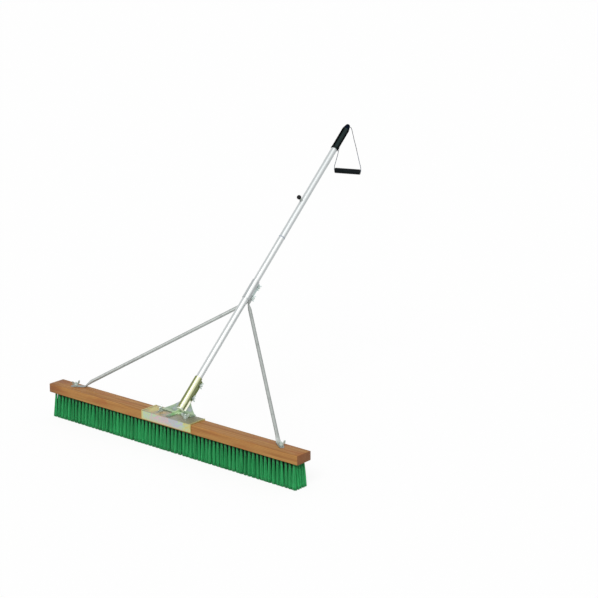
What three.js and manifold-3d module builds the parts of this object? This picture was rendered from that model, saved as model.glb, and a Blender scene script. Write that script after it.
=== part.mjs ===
// Court brush: wooden head with bristle tufts, steel bracket, two stays and a two-part handle.
// Units are millimetres. +X runs along the head, +Y is the side the handle leans to, +Z is up.
// The origin is on the ground under the middle of the head.
import * as THREE from 'three';
import { mergeGeometries, mergeVertices } from 'three/addons/utils/BufferGeometryUtils.js';
import Module from 'manifold-3d';

const wasm = await Module();
wasm.setup();

// Fits
const gap = 0.3; // between pieces that touch
const overrun = 2; // how far a cutter runs past its piece

// Head block
const headLength = 1200;
const headWidth = 70;
const headHeight = 33;
const headCorner = 2.5;

// Bristle tufts
const bristleLength = 94;
const bankColumns = [16, 16, 17, 16]; // columns of tufts in each bank, left to right
const tuftRows = 5;
const tuftPitch = 18; // along the head, at the root
const tuftRowPitch = 12; // across the head, at the root
const rootWidth = 9;
const rootDepth = 7.5;
const tipWidth = 16;
const tipDepth = 10.4;
const tipSplay = 5; // how far the outermost tips stand beyond their roots, along the head
const tipRowSplay = 1; // the same across the head
const tuftBacking = 2; // slice of the block that each bank of tufts is set in
const rootDepthInBacking = 1;

// Base plate
const plateLength = 238;
const sheet = 2.5; // thickness of plate and bracket
const flangeDrop = 28; // how far the flanges reach down the block
const rimWidth = 5;
const rimHeight = 1.2;

// Handle
const handleAngle = 43; // degrees above the ground
const handleOffset = 22.6; // where its axis meets the top of the block, behind the middle
const tubeRadius = 12;
const tubeWall = 1.5;
const tubeStart = 20; // distances along the handle are from the top of the block
const lowerTubeLength = 760;
const collarLength = 4;
const collarProud = 0.5;
const innerTubeOverlap = 100; // inner tube inside the lower tube
const innerTubeReach = 300; // inner tube inside the upper tube
const upperTubeLength = 512;

// Socket bracket
const socketStart = 23;
const socketLength = 131;
const bandWall = 2;
const earGap = 3; // slit between the ears
const earSheet = 2.5;
const socketEarStart = 18; // the foot cuts the ears off at a slant
const socketEarLength = 134;
const socketBoltFirst = 82;
const socketBoltPitch = 54;
const socketBoltOut = 23; // from the handle's axis
const earEdge = 5.3; // from bolt to the edge of the ear
const earCorner = 4;
const webHalfWidth = 70;
const webReach = 64; // how far up the handle the web runs
const webTipHalfWidth = 15;
const webHollow = 4; // how far the web's slanting edges draw in
const webDrop = 7; // from the handle's axis to the web, on its underside
const footFront = 14; // front edge of the bracket's foot, behind the middle
const footBack = 43;
const tongueFront = -28; // front end of the tongue under the gusset
const tongueHalfWidth = 9;
const gussetFrontHeight = 1.5;
const gussetHeight = 11;

// Stay clamp
const clampStart = 503;
const clampLength = 80;
const clampBoltFirst = 521.5;
const clampBoltPitch = 46;

// Stays
const stayRadius = 6.5;
const stayTabThick = 3;
const clampTabWidth = 12;
const tabClearance = 1.2; // between a clamp tab and the band
const footTabWidth = 18;
const clampTabTip = 8; // beyond the clamp bolt
const clampTabBend = 25; // from the clamp bolt to the bend
const footBoltX = 497;
const footBoltY = 3;
const footTabAngle = 35; // degrees from the head's length, seen from above
const footTabTip = 18;
const footTabBend = 34;
const flattenLength = 30; // from a bend to the full round tube
const staySides = 12;
// Where a stay is half flattened, as shares of its radius; a tab's end, as a share of its width
const halfFlatShares = { wide: 1.15, thick: 0.6 };
const tabEndShare = 0.7;
const tabRoundnessShare = 0.4;
const halfFlatRoundnessShare = 0.8;

// Fasteners
const smallBolt = 3; // thread radius in the ears
const largeBolt = 4; // thread radius in the block
const baseBoltX = 60;
const boltEnd = 4; // thread that stands beyond a nut
const washerThick = 1.6;
const washerRadius = 9;
// A wing nut's sizes, as shares of its thread radius
const nutShares = {
  hub: 1.75,
  crown: 1.4,
  root: 0.5,
  shoulder: 1,
  height: 2,
  notch: 2.2,
  span: 3.85,
  tip: 4.2,
  wing: 0.6,
};
// A bolt head's sizes, as shares of its thread radius
const hexHeadShares = { radius: 1.9, height: 1.3 };
const roundHeadShares = { radius: 2.3, height: 1.05, crown: 1.4, shoulder: 2.05, shoulderHeight: 0.5 };

// Clamp knob
const knobPlace = 947; // along the handle
const knobHeight = 31; // from the handle's axis to the middle of the ball
const ballRadius = 8.5;
const ballSocketDepth = 8;
const knobStud = 3; // radius
const bossRadius = 5.5;
const bossHeight = 5;

// Grip and nose cap
const gripLength = 95.5;
const gripWall = 1.2;
const gripLipLength = 6;
const gripLipRise = 1;
const nosePlug = 30; // inside the upper tube
const noseHole = 13; // from the end of the upper tube to the cord hole
const noseHoleRadius = 10.2; // radius of the cap at the cord hole
// Distances beyond the end of the upper tube, with the cap's radius there
const noseLowerPlaces = [[2.5, 12.9], [7, 11.9]];
const noseUpperPlaces = [[18, 8.9], [21.5, 7], [23.4, 4.2]];

// Pull bar and cord
const cordRadius = 1.2;
const cordSides = 6;
const barLength = 101;
const barRadius = 10.3;
const barBore = 4;
const barCorner = 2;
const barDrop = 171; // from the cord hole to the middle of the bar
const barYaw = 20; // degrees from the head's length, seen from above
const barShift = 2; // of the bar's middle along the bar, from under the cord hole
const cordTurn = 2.6; // radius in which the cord turns into the end of the bar
const knotRadius = 3.2;
const knotHalfLength = 4;

// Free stretches of the cord: share of the way out from the nose cap to the end of the bar, and
// drop from the cord hole
const rightCordPlaces = [
  [0, 0], [0.05, 0.1], [0.1, 1], [0.14, 2.8], [0.17, 6], [0.215, 13], [0.275, 24], [0.335, 35],
  [0.412, 50], [0.504, 65], [0.591, 80], [0.675, 96], [0.755, 111], [0.835, 126], [0.925, 141.5],
  [0.975, 150], [1, 159],
];
const leftCordPlaces = [
  [0, 0], [0.05, 0.1], [0.1, 1], [0.14, 2.8], [0.17, 6], [0.215, 13], [0.27, 24], [0.322, 35],
  [0.394, 50], [0.465, 65], [0.54, 80], [0.61, 95], [0.685, 110], [0.785, 125], [0.895, 140.5],
  [0.96, 150], [1, 159],
];
const quarterTurnShares = [0, 0.33, 0.67, 0.83]; // places round the turn into the bar

// Places that follow from the sizes above
const headTop = bristleLength + headHeight;
const lean = THREE.MathUtils.degToRad(handleAngle);
const lowerTubeEnd = tubeStart + lowerTubeLength;
const upperTubeStart = lowerTubeEnd + collarLength + 2 * gap;
const upperTubeEnd = upperTubeStart + upperTubeLength;
const tubeBore = tubeRadius - tubeWall;
const innerTubeRadius = tubeBore - gap;
const bandBore = tubeRadius + gap;
const bandRadius = bandBore + bandWall;
const earFace = earGap / 2 + earSheet;
const clampBoltOut = bandRadius + tabClearance + clampTabWidth / 2;
const plateTop = headTop + gap + sheet;
const footTop = plateTop + gap + sheet;
const gripStart = upperTubeEnd - gripLength;
const cordHole = upperTubeEnd + noseHole;
const cordHoleY = handleOffset + cordHole * Math.cos(lean);
const cordHoleZ = headTop + cordHole * Math.sin(lean);
const pocketTop = bristleLength + tuftBacking + gap;
const yaw = THREE.MathUtils.degToRad(barYaw);

const axisX = new THREE.Vector3(1, 0, 0);
const axisY = new THREE.Vector3(0, 1, 0);
const axisZ = new THREE.Vector3(0, 0, 1);

// Outlines in the plane of Y and Z, extruded along X
const sideMatrix = new THREE.Matrix4().makeBasis(axisY, axisZ, axisX);
// The same with Z first, for the ears in the handle's frame
const earMatrix = new THREE.Matrix4().makeBasis(axisZ, axisY, axisX.clone().negate());
// Outlines in the plane of X and Z, on the underside of the handle
const webMatrix = new THREE.Matrix4()
  .makeTranslation(0, webDrop, 0)
  .multiply(new THREE.Matrix4().makeBasis(axisX, axisZ, axisY.clone().negate()));

// A frame whose Z runs up the handle and whose Y points out of its underside
const handleMatrix = new THREE.Matrix4()
  .makeTranslation(0, handleOffset, headTop)
  .multiply(new THREE.Matrix4().makeRotationX(lean - Math.PI / 2));

function toSolid(geometry) {
  const bare = geometry.clone();
  bare.deleteAttribute('normal');
  bare.deleteAttribute('uv');
  const welded = mergeVertices(bare);
  return new wasm.Manifold(
    new wasm.Mesh({
      numProp: 3,
      vertProperties: new Float32Array(welded.attributes.position.array),
      triVerts: new Uint32Array(welded.index.array),
    }),
  );
}

function toGeometry(solid) {
  const mesh = solid.getMesh();
  const geometry = new THREE.BufferGeometry();
  geometry.setAttribute('position', new THREE.BufferAttribute(new Float32Array(mesh.vertProperties), 3));
  geometry.setIndex(new THREE.BufferAttribute(new Uint32Array(mesh.triVerts), 1));
  return geometry;
}

function join(...geometries) {
  return toGeometry(geometries.map(toSolid).reduce((sum, solid) => sum.add(solid)));
}

function cut(geometry, ...cutters) {
  const solids = cutters.map(toSolid);
  return toGeometry(solids.reduce((rest, cutter) => rest.subtract(cutter), toSolid(geometry)));
}

// A turned body about Z; the profile is a list of [radius, height] going up the outside
function turned(profile, sides) {
  const points = profile.map(([radius, height]) => new THREE.Vector2(radius, height));
  return new THREE.LatheGeometry(points, sides).rotateX(Math.PI / 2);
}

function rod(radius, from, to, sides = 12) {
  return turned([[0, from], [radius, from], [radius, to], [0, to]], sides);
}

function tube(bore, radius, from, to, sides = 24) {
  return turned([[bore, from], [radius, from], [radius, to], [bore, to], [bore, from]], sides);
}

function block(xRange, yRange, zRange) {
  const size = [xRange, yRange, zRange].map(([low, high]) => high - low);
  const middle = [xRange, yRange, zRange].map(([low, high]) => (high + low) / 2);
  return new THREE.BoxGeometry(...size).translate(...middle);
}

// A flat shape extruded from low to high along Z
function slab(shape, low, high, curveSegments = 6) {
  const options = { depth: high - low, bevelEnabled: false, curveSegments };
  return new THREE.ExtrudeGeometry(shape, options).translate(0, 0, low);
}

function outline(points) {
  return new THREE.Shape(points.map(([x, y]) => new THREE.Vector2(x, y)));
}

function roundedRectangle(left, bottom, right, top, radius) {
  const shape = new THREE.Shape();
  shape.moveTo(left + radius, bottom);
  shape.lineTo(right - radius, bottom);
  shape.absarc(right - radius, bottom + radius, radius, -Math.PI / 2, 0);
  shape.lineTo(right, top - radius);
  shape.absarc(right - radius, top - radius, radius, 0, Math.PI / 2);
  shape.lineTo(left + radius, top);
  shape.absarc(left + radius, top - radius, radius, Math.PI / 2, Math.PI);
  shape.lineTo(left, bottom + radius);
  shape.absarc(left + radius, bottom + radius, radius, Math.PI, 1.5 * Math.PI);
  return shape;
}

// Turns a body made along Z so that it lies along X
function alongX(geometry) {
  return geometry.rotateY(Math.PI / 2);
}

// Head
function headBlock() {
  const section = roundedRectangle(-headWidth / 2, bristleLength, headWidth / 2, headTop, headCorner);
  const body = slab(section, -headLength / 2, headLength / 2, 3);
  body.applyMatrix4(sideMatrix);
  const [pocketX, pocketY] = backingHalfSize();
  const pocket = block(
    [-pocketX - gap, pocketX + gap],
    [-pocketY - gap, pocketY + gap],
    [bristleLength - overrun, pocketTop],
  );
  const headRadius = roundHeadShares.radius * largeBolt + gap;
  const holes = uprightBoltPlaces().flatMap(({ x, y }) => [
    rod(largeBolt + gap, bristleLength, headTop + overrun).translate(x, y, 0),
    rod(headRadius, bristleLength, uprightHeadTop() + gap, 16).translate(x, y, 0),
  ]);
  return cut(body, pocket, ...holes);
}

function uprightBoltPlaces() {
  const tabTop = headTop + gap + stayTabThick;
  return [
    { name: 'foot_left', x: -footBoltX, y: footBoltY, seat: tabTop, turn: 1.2 },
    { name: 'base_left', x: -baseBoltX, y: 0, seat: plateTop, turn: 2.1 },
    { name: 'base_right', x: baseBoltX, y: 0, seat: plateTop, turn: 0.35 },
    { name: 'foot_right', x: footBoltX, y: footBoltY, seat: tabTop, turn: 0.7 },
  ];
}

function uprightHeadTop() {
  return pocketTop + roundHeadShares.height * largeBolt;
}

// Bristles
function backingHalfSize() {
  const columns = bankColumns.reduce((sum, count) => sum + count);
  const x = (columns * tuftPitch) / 2;
  const y = ((tuftRows - 1) * tuftRowPitch + rootDepth) / 2 + overrun;
  return [x, y];
}

// One tuft: a four-sided strand that widens and leans out to a flat tip on the ground
function tuft(column, row) {
  const columns = bankColumns.reduce((sum, count) => sum + count);
  const across = (2 * row) / (tuftRows - 1) - 1;
  const along = (2 * column) / (columns - 1) - 1;
  const rootX = (along * (columns - 1) * tuftPitch) / 2;
  const rootY = (across * (tuftRows - 1) * tuftRowPitch) / 2;
  const strand = new THREE.BoxGeometry(1, 1, 1);
  const corner = strand.attributes.position;
  for (let i = 0; i < corner.count; i += 1) {
    if (corner.getZ(i) > 0) {
      const rootZ = bristleLength + rootDepthInBacking;
      corner.setXYZ(i, rootX + corner.getX(i) * rootWidth, rootY + corner.getY(i) * rootDepth, rootZ);
    } else {
      const tipX = rootX + along * tipSplay + corner.getX(i) * tipWidth;
      const tipY = rootY + across * tipRowSplay + corner.getY(i) * tipDepth;
      corner.setXYZ(i, tipX, tipY, 0);
    }
  }
  return strand;
}

function bristleBank(bank) {
  const first = bankColumns.slice(0, bank).reduce((sum, count) => sum + count, 0);
  const end = first + bankColumns[bank];
  const [halfX, halfY] = backingHalfSize();
  const leftGap = bank > 0 ? gap / 2 : 0;
  const rightGap = bank < bankColumns.length - 1 ? gap / 2 : 0;
  const xRange = [first * tuftPitch - halfX + leftGap, end * tuftPitch - halfX - rightGap];
  const backing = block(xRange, [-halfY, halfY], [bristleLength, bristleLength + tuftBacking]);
  const strands = [];
  for (let column = first; column < end; column += 1) {
    for (let row = 0; row < tuftRows; row += 1) {
      strands.push(tuft(column, row));
    }
  }
  return join(backing, mergeGeometries(strands));
}

// Base plate: sheet folded down over both long faces of the block, with a rim at each end
function basePlate() {
  const halfLength = plateLength / 2;
  const inner = headWidth / 2 + gap;
  const outer = inner + sheet;
  const top = block([-halfLength, halfLength], [-outer, outer], [headTop + gap, plateTop]);
  const pieces = [top];
  for (const side of [-1, 1]) {
    const yRange = side < 0 ? [-outer, -inner] : [inner, outer];
    pieces.push(block([-halfLength, halfLength], yRange, [headTop - flangeDrop, plateTop]));
    const xRange = side < 0 ? [-halfLength, rimWidth - halfLength] : [halfLength - rimWidth, halfLength];
    pieces.push(block(xRange, [-outer, outer], [plateTop - sheet / 2, plateTop + rimHeight]));
  }
  const holes = [-baseBoltX, baseBoltX].map((x) =>
    rod(largeBolt + gap, headTop - overrun, plateTop + overrun).translate(x, 0, 0),
  );
  return cut(join(...pieces), ...holes);
}

// A split band round the handle with two ears on its underside, in the handle's frame
function earedBand(bandStart, bandLength, earStart, earLength, boltOut, bolts) {
  const earOut = boltOut + earEdge;
  const ear = outline([
    [earStart, bandBore],
    [earStart, earOut - earCorner],
    [earStart + earCorner, earOut],
    [earStart + earLength - earCorner, earOut],
    [earStart + earLength, earOut - earCorner],
    [earStart + earLength, bandBore],
  ]);
  const ears = slab(ear, -earFace, earFace).applyMatrix4(earMatrix);
  const band = join(tube(bandBore, bandRadius, bandStart, bandStart + bandLength), ears);
  const slit = block(
    [-earGap / 2, earGap / 2],
    [0, earOut + overrun],
    [bandStart - overrun, bandStart + bandLength + overrun],
  );
  const holes = bolts.map((place) =>
    alongX(rod(smallBolt + gap, -earFace - overrun, earFace + overrun)).translate(0, boltOut, place),
  );
  const bore = rod(bandBore, bandStart - overrun, bandStart + bandLength + overrun, 24);
  return cut(band, bore, slit, ...holes);
}

// Socket bracket: sleeve with ears, fan-shaped web down to a foot, and a gusset in front
function socketBracket() {
  const bolts = [socketBoltFirst, socketBoltFirst + socketBoltPitch];
  const ears = [socketEarStart, socketEarLength, socketBoltOut];
  const band = earedBand(socketStart, socketLength, ...ears, bolts);
  band.applyMatrix4(handleMatrix);

  // The web lies along the handle, webDrop under its axis, and starts at the back edge of the foot
  const drop = webDrop + sheet / 2;
  const webStart = (footTop - sheet / 2 - headTop + drop * Math.cos(lean)) / Math.sin(lean);
  const hollowX = (webHalfWidth + webTipHalfWidth) / 2 - webHollow;
  const hollowPlace = (webStart + webReach) / 2 - webHollow;
  const fan = new THREE.Shape();
  fan.moveTo(-webHalfWidth, webStart);
  fan.lineTo(webHalfWidth, webStart);
  fan.quadraticCurveTo(hollowX, hollowPlace, webTipHalfWidth, webReach);
  fan.lineTo(-webTipHalfWidth, webReach);
  fan.quadraticCurveTo(-hollowX, hollowPlace, -webHalfWidth, webStart);
  const web = slab(fan, -sheet, 0, 10).applyMatrix4(webMatrix);
  web.applyMatrix4(handleMatrix);

  const foot = slab(
    outline([
      [-webHalfWidth, footFront],
      [-tongueHalfWidth, footFront],
      [-tongueHalfWidth, tongueFront],
      [tongueHalfWidth, tongueFront],
      [tongueHalfWidth, footFront],
      [webHalfWidth, footFront],
      [webHalfWidth, footBack],
      [-webHalfWidth, footBack],
    ]),
    plateTop + gap,
    footTop,
  );

  const gusset = slab(
    outline([
      [tongueFront, footTop - sheet / 2],
      [footBack, footTop - sheet / 2],
      [footBack, footTop + gussetHeight],
      [tongueFront, footTop + gussetFrontHeight],
    ]),
    -sheet / 2,
    sheet / 2,
  );
  gusset.applyMatrix4(sideMatrix);

  const bore = rod(bandBore, tubeStart - gap, socketStart + socketLength + overrun, 24);
  bore.applyMatrix4(handleMatrix);
  const across = [-webHalfWidth - overrun, webHalfWidth + overrun];
  const under = block(across, [-headWidth, headWidth], [bristleLength, plateTop + gap]);
  return cut(join(foot, web, gusset, band), bore, under);
}

function stayClamp() {
  const bolts = [clampBoltFirst, clampBoltFirst + clampBoltPitch];
  return earedBand(clampStart, clampLength, clampStart, clampLength, clampBoltOut, bolts);
}

// Fasteners, made about Z with the seat at height 0 and the thread pointing up
function wingNut(threadRadius) {
  const size = Object.fromEntries(
    Object.entries(nutShares).map(([name, share]) => [name, share * threadRadius]),
  );
  const bore = threadRadius + gap;
  const hubProfile = [
    [bore, 0],
    [size.hub, 0],
    [size.hub, size.root],
    [size.crown, size.height],
    [bore, size.height],
    [bore, 0],
  ];
  const hub = turned(hubProfile, 12);
  const wing = new THREE.Shape();
  wing.moveTo(bore, size.root);
  wing.lineTo(size.hub, size.root);
  wing.quadraticCurveTo(size.span, size.shoulder, size.span, size.tip - size.wing);
  wing.quadraticCurveTo(size.span, size.tip, size.span - size.wing, size.tip);
  wing.quadraticCurveTo(size.notch, size.tip, size.hub, size.height);
  wing.lineTo(bore, size.height);
  const blades = [0, Math.PI].map((turn) =>
    slab(wing, -size.wing / 2, size.wing / 2, 4).rotateX(Math.PI / 2).rotateZ(turn),
  );
  const opening = rod(bore, -overrun, size.tip + overrun);
  return cut(join(hub, ...blades), opening);
}

function hexBolt(length) {
  const radius = hexHeadShares.radius * smallBolt;
  const height = hexHeadShares.height * smallBolt;
  const head = new THREE.CylinderGeometry(radius, radius, height, 6);
  head.rotateX(Math.PI / 2).translate(0, 0, -height / 2);
  return join(head, rod(smallBolt, -gap, length));
}

function roundHeadBolt(length) {
  const height = roundHeadShares.height * largeBolt;
  const profile = [
    [0, -height],
    [roundHeadShares.crown * largeBolt, -height],
    [roundHeadShares.shoulder * largeBolt, -roundHeadShares.shoulderHeight * largeBolt],
    [roundHeadShares.radius * largeBolt, 0],
    [largeBolt, 0],
    [largeBolt, length],
    [0, length],
  ];
  return turned(profile, 16);
}

function nutHeight(threadRadius) {
  return nutShares.height * threadRadius;
}

// Stays: a tube drawn through stations, flat at both ends
function stay(side) {
  const clampBolt = new THREE.Vector3(0, clampBoltOut, clampBoltFirst).applyMatrix4(handleMatrix);
  clampBolt.x = side * (earFace + gap + stayTabThick / 2);
  const footBolt = new THREE.Vector3(side * footBoltX, footBoltY, headTop + gap + stayTabThick / 2);
  const tabTurn = THREE.MathUtils.degToRad(footTabAngle);
  const tabOut = new THREE.Vector3(side * Math.cos(tabTurn), -Math.sin(tabTurn), 0);
  const footBend = footBolt.clone().addScaledVector(tabOut, -footTabBend);

  // The clamp tab lies flat on the ear and points at the foot bend
  const tabDown = footBend.clone().sub(clampBolt).setX(0).normalize();
  const clampBend = clampBolt.clone().addScaledVector(tabDown, clampTabBend);
  const run = footBend.clone().sub(clampBend).normalize();

  const clampWide = new THREE.Vector3().crossVectors(axisX, tabDown).normalize();
  const runFlat = new THREE.Vector3().crossVectors(run, clampWide).normalize();
  const footWide = new THREE.Vector3().crossVectors(axisZ, tabOut).normalize();
  const runWide = new THREE.Vector3().crossVectors(axisZ, run).normalize();
  const runUp = new THREE.Vector3().crossVectors(run, runWide).normalize();

  const tabHalf = stayTabThick / 2;
  const flat = (width) => ({ halfWide: width / 2, halfFlat: tabHalf, roundness: tabRoundnessShare });
  const half = {
    halfWide: halfFlatShares.wide * stayRadius,
    halfFlat: halfFlatShares.thick * stayRadius,
    roundness: halfFlatRoundnessShare,
  };
  const full = { halfWide: stayRadius, halfFlat: stayRadius, roundness: 1 };
  const clampEnd = { wide: clampWide, flat: axisX };
  const runTop = { wide: clampWide, flat: runFlat };
  const runFoot = { wide: runWide, flat: runUp };
  const footEnd = { wide: footWide, flat: axisZ };
  const along = (from, way, distance) => ({ centre: from.clone().addScaledVector(way, distance) });
  // The foot is pressed flush with the tube's underside, so the tube's middle is higher
  const overFoot = (distance, shape) => ({
    centre: along(footBend, run, -distance).centre.addScaledVector(runUp, shape.halfFlat - tabHalf),
  });
  const stations = [
    { ...along(clampBolt, tabDown, -clampTabTip), ...clampEnd, ...flat(clampTabWidth * tabEndShare) },
    { ...along(clampBolt, tabDown, -clampTabTip / 2), ...clampEnd, ...flat(clampTabWidth) },
    { ...along(clampBend, tabDown, -tabHalf), ...clampEnd, ...flat(clampTabWidth) },
    { ...along(clampBend, run, tabHalf), ...runTop, ...flat(clampTabWidth) },
    { ...along(clampBend, run, flattenLength / 2), ...runTop, ...half },
    { ...along(clampBend, run, flattenLength), ...runTop, ...full },
    { ...overFoot(flattenLength, full), ...runFoot, ...full },
    { ...overFoot(flattenLength / 2, half), ...runFoot, ...half },
    { ...overFoot(tabHalf, flat(footTabWidth)), ...runFoot, ...flat(footTabWidth) },
    { ...along(footBend, tabOut, tabHalf), ...footEnd, ...flat(footTabWidth) },
    { ...along(footBolt, tabOut, footTabTip / 2), ...footEnd, ...flat(footTabWidth) },
    { ...along(footBolt, tabOut, footTabTip), ...footEnd, ...flat(footTabWidth * tabEndShare) },
  ];
  const reach = stayTabThick + overrun;
  const clampHole = alongX(rod(smallBolt + gap, -reach, reach)).translate(...clampBolt);
  const footHole = rod(largeBolt + gap, -reach, reach).translate(...footBolt);
  return cut(loft(stations, staySides), clampHole, footHole);
}

// One ring of a loft; roundness 1 is an ellipse and less is squarer
function ring({ centre, wide, flat, halfWide, halfFlat, roundness }, sides) {
  const points = [];
  for (let i = 0; i < sides; i += 1) {
    const angle = ((i + 0.5) * 2 * Math.PI) / sides;
    const across = Math.sign(Math.cos(angle)) * Math.abs(Math.cos(angle)) ** roundness;
    const up = Math.sign(Math.sin(angle)) * Math.abs(Math.sin(angle)) ** roundness;
    const point = centre.clone();
    point.addScaledVector(wide, across * halfWide).addScaledVector(flat, up * halfFlat);
    points.push(point);
  }
  return points;
}

// Turns and, if need be, reverses a ring so that it lies nearest the ring before it
function matched(before, points) {
  let best = points;
  let least = Infinity;
  for (const order of [points, [...points].reverse()]) {
    for (let shift = 0; shift < order.length; shift += 1) {
      const turnedRing = [...order.slice(shift), ...order.slice(0, shift)];
      const distance = turnedRing.reduce((sum, point, i) => sum + point.distanceToSquared(before[i]), 0);
      if (distance < least) {
        least = distance;
        best = turnedRing;
      }
    }
  }
  return best;
}

function loft(stations, count) {
  const rings = [];
  for (const place of stations) {
    const points = ring(place, count);
    rings.push(rings.length ? matched(rings.at(-1), points) : points);
  }
  const vertices = rings.flat();
  const first = vertices.length;
  vertices.push(stations[0].centre, stations.at(-1).centre);
  const faces = [];
  for (let j = 0; j < rings.length - 1; j += 1) {
    for (let i = 0; i < count; i += 1) {
      const a = j * count + i;
      const b = j * count + ((i + 1) % count);
      faces.push(a, b, b + count, a, b + count, a + count);
    }
  }
  for (let i = 0; i < count; i += 1) {
    const next = (i + 1) % count;
    const last = (rings.length - 1) * count;
    faces.push(first, next, i, first + 1, last + i, last + next);
  }
  const places = vertices.flatMap((vertex) => vertex.toArray());
  const geometry = new THREE.BufferGeometry();
  geometry.setAttribute('position', new THREE.Float32BufferAttribute(places, 3));
  geometry.setIndex(faces);
  return facingOut(geometry);
}

// Reverses every face if they point in
function facingOut(geometry) {
  const place = geometry.attributes.position;
  const index = geometry.index.array;
  const [a, b, c] = [new THREE.Vector3(), new THREE.Vector3(), new THREE.Vector3()];
  let volume = 0;
  for (let i = 0; i < index.length; i += 3) {
    a.fromBufferAttribute(place, index[i]);
    b.fromBufferAttribute(place, index[i + 1]);
    c.fromBufferAttribute(place, index[i + 2]);
    volume += a.dot(b.cross(c));
  }
  if (volume < 0) {
    for (let i = 0; i < index.length; i += 3) {
      [index[i], index[i + 1]] = [index[i + 1], index[i]];
    }
  }
  return geometry;
}

// Handle pieces, in the handle's frame
function lowerTube() {
  return tube(tubeBore, tubeRadius, tubeStart, lowerTubeEnd);
}

function innerTube() {
  return tube(
    innerTubeRadius - tubeWall,
    innerTubeRadius,
    lowerTubeEnd - innerTubeOverlap,
    upperTubeStart + innerTubeReach,
  );
}

function jointCollar() {
  return tube(tubeBore, tubeRadius + collarProud, lowerTubeEnd + gap, lowerTubeEnd + gap + collarLength);
}

// A body made about Z, set at the knob's place so that its Z points out of the handle's upper side
function atKnob(geometry) {
  return geometry.rotateX(Math.PI / 2).translate(0, 0, knobPlace);
}

function upperTube() {
  const body = tube(tubeBore, tubeRadius, upperTubeStart, upperTubeEnd);
  const studHole = atKnob(rod(knobStud + gap, 0, tubeRadius + overrun));
  return cut(body, studHole);
}

function knobBoss() {
  const body = turned(
    [
      [knobStud + gap, tubeBore],
      [bossRadius, tubeBore],
      [bossRadius, tubeRadius + bossHeight - gap],
      [bossRadius - gap, tubeRadius + bossHeight],
      [knobStud + gap, tubeRadius + bossHeight],
      [knobStud + gap, tubeBore],
    ],
    16,
  );
  const reach = bossRadius + overrun;
  const seat = rod(tubeRadius + gap, knobPlace - reach, knobPlace + reach, 24);
  return cut(atKnob(body), seat);
}

function knobStudRod() {
  return atKnob(rod(knobStud, innerTubeRadius + gap, knobHeight - ballRadius + ballSocketDepth));
}

function ballKnob() {
  const ball = new THREE.SphereGeometry(ballRadius, 20, 12);
  ball.rotateX(Math.PI / 2).translate(0, 0, knobHeight);
  const low = knobHeight - ballRadius;
  const socket = rod(knobStud + gap, low - overrun, low + ballSocketDepth + gap);
  const flat = rod(ballRadius, low - overrun, low + gap, 16);
  return atKnob(cut(ball, flat, socket));
}

function grip() {
  const bore = tubeRadius + gap;
  const radius = tubeRadius + gripWall;
  const profile = [
    [bore, gripStart],
    [radius, gripStart],
    [radius + gripLipRise, gripStart + gripLipRise],
    [radius + gripLipRise, gripStart + gripLipLength - gripLipRise],
    [radius, gripStart + gripLipLength],
    [radius, upperTubeEnd],
    [bore, upperTubeEnd],
    [bore, gripStart],
  ];
  return turned(profile, 24);
}

function noseCap() {
  const plugRadius = tubeBore - gap;
  const shoulder = upperTubeEnd + gap;
  const places = [...noseLowerPlaces, [noseHole, noseHoleRadius], ...noseUpperPlaces];
  const profile = [
    [0, upperTubeEnd - nosePlug],
    [plugRadius, upperTubeEnd - nosePlug],
    [plugRadius, shoulder],
    [tubeRadius + gripWall, shoulder],
    ...places.map(([along, radius]) => [radius, upperTubeEnd + along]),
    [0, upperTubeEnd + places.at(-1)[0]],
  ];
  const hole = alongX(rod(cordRadius + gap, -tubeRadius - gripWall, tubeRadius + gripWall, 8));
  return cut(turned(profile, 24), hole.translate(0, 0, cordHole));
}

// Cord
function cordBridge() {
  return alongX(rod(cordRadius, -noseHoleRadius, noseHoleRadius, 8)).translate(0, cordHoleY, cordHoleZ);
}

// A place on the line through the bar, measured from the bar's middle
function barPlace(along) {
  const out = along + barShift;
  return new THREE.Vector3(out * Math.cos(yaw), cordHoleY + out * Math.sin(yaw), cordHoleZ - barDrop);
}

// One free stretch: out of the nose cap, down, and round into the end of the bar
function cordStretch(side, places) {
  const exitX = noseHoleRadius + gap + cordRadius / 2;
  const exit = new THREE.Vector3(side * exitX, cordHoleY, cordHoleZ);
  const reach = barLength / 2 + cordTurn;
  const low = barPlace(side * reach);
  const points = places.map(([share, drop]) => exit.clone().lerp(low, share).setZ(cordHoleZ - drop));
  for (const share of quarterTurnShares) {
    const turn = (share * Math.PI) / 2;
    const inward = cordTurn * (1 - Math.cos(turn));
    const above = cordTurn * (1 - Math.sin(turn));
    points.push(barPlace(side * (reach - inward)).setZ(low.z + above));
  }
  const path = new THREE.CatmullRomCurve3(points);
  const across = low.clone().sub(exit).cross(axisZ).normalize();
  const stations = [];
  for (let i = 0; i <= 2 * (points.length - 1); i += 1) {
    const share = i / (2 * (points.length - 1));
    const flat = path.getTangent(share).cross(across).normalize();
    const centre = path.getPoint(share);
    stations.push({ centre, wide: across, flat, halfWide: cordRadius, halfFlat: cordRadius, roundness: 1 });
  }
  return loft(stations, cordSides);
}

// A body made along X, hung under the cord hole as the bar hangs
function hangBar(geometry) {
  return geometry.rotateZ(yaw).translate(...barPlace(0));
}

function pullBar() {
  const half = barLength / 2;
  const profile = [
    [barBore, -half],
    [barRadius - barCorner, -half],
    [barRadius, barCorner - half],
    [barRadius, half - barCorner],
    [barRadius - barCorner, half],
    [barBore, half],
    [barBore, -half],
  ];
  return hangBar(alongX(turned(profile, 24)));
}

// The stretch that runs through the bar, with the knot that joins its ends
function barCord() {
  const half = barLength / 2;
  const profile = [
    [0, -half],
    [cordRadius, -half],
    [cordRadius, -knotHalfLength],
    [knotRadius, -knotHalfLength / 2],
    [knotRadius, knotHalfLength / 2],
    [cordRadius, knotHalfLength],
    [cordRadius, half],
    [0, half],
  ];
  return hangBar(alongX(turned(profile, 8)));
}

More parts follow.
